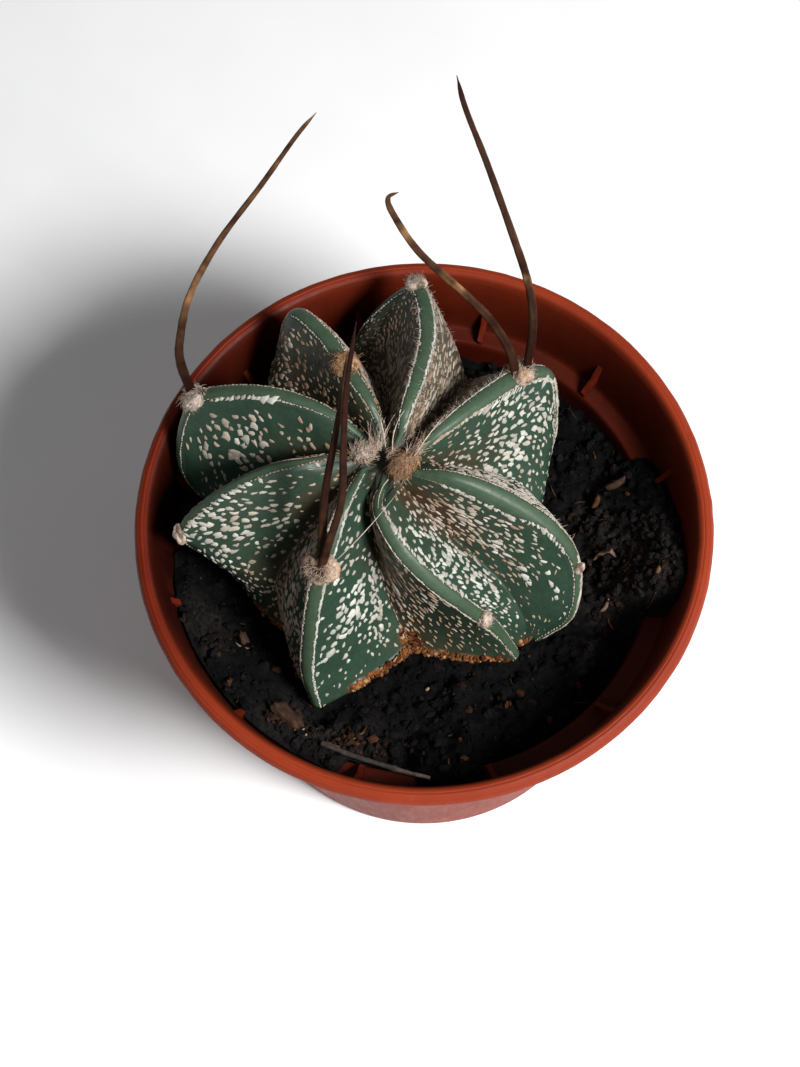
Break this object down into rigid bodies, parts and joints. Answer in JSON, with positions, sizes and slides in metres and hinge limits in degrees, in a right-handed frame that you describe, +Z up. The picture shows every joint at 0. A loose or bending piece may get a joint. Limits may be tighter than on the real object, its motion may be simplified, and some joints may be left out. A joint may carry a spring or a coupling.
{
  "type": "potted cactus",
  "caption": "Potted ribbed goats horn cactus with flecked flanks, woolly areoles and long curved spines, standing in dark soil in a round plastic nursery pot.",
  "frame": {"origin": "middle of the pot's foot, on the surface it stands on", "axes": "+Z up along the pot's axis, +Y to the back and +X to the right, seen from the front"},
  "size_m": [0.09, 0.09, 0.1301],
  "materials": {
    "pot_plastic": "satin",
    "peat": "matte",
    "cactus_skin": "satin",
    "areole_wool": "matte",
    "spine_horn": "satin",
    "dry_wood": "matte",
    "bark": "matte"
  },
  "bodies": {
    "root": {"pot": "pot_plastic", "soil": "peat", "cactus_body": "cactus_skin", "wool_rib_a": "areole_wool", "wool_rib_b": "areole_wool", "wool_rib_c": "areole_wool", "wool_rib_d": "areole_wool", "wool_rib_e": "areole_wool", "wool_rib_f": "areole_wool", "wool_rib_g": "areole_wool", "wool_rib_h": "areole_wool", "wool_crown_left": "areole_wool", "wool_crown_right": "areole_wool", "spine_left": "spine_horn", "spine_hooked": "spine_horn", "spine_tall": "spine_horn", "spine_front_left": "spine_horn", "spine_front_right": "spine_horn", "twig": "dry_wood", "bark_chip_large": "bark", "bark_chip_small": "bark"}
  },
  "joints": []
}
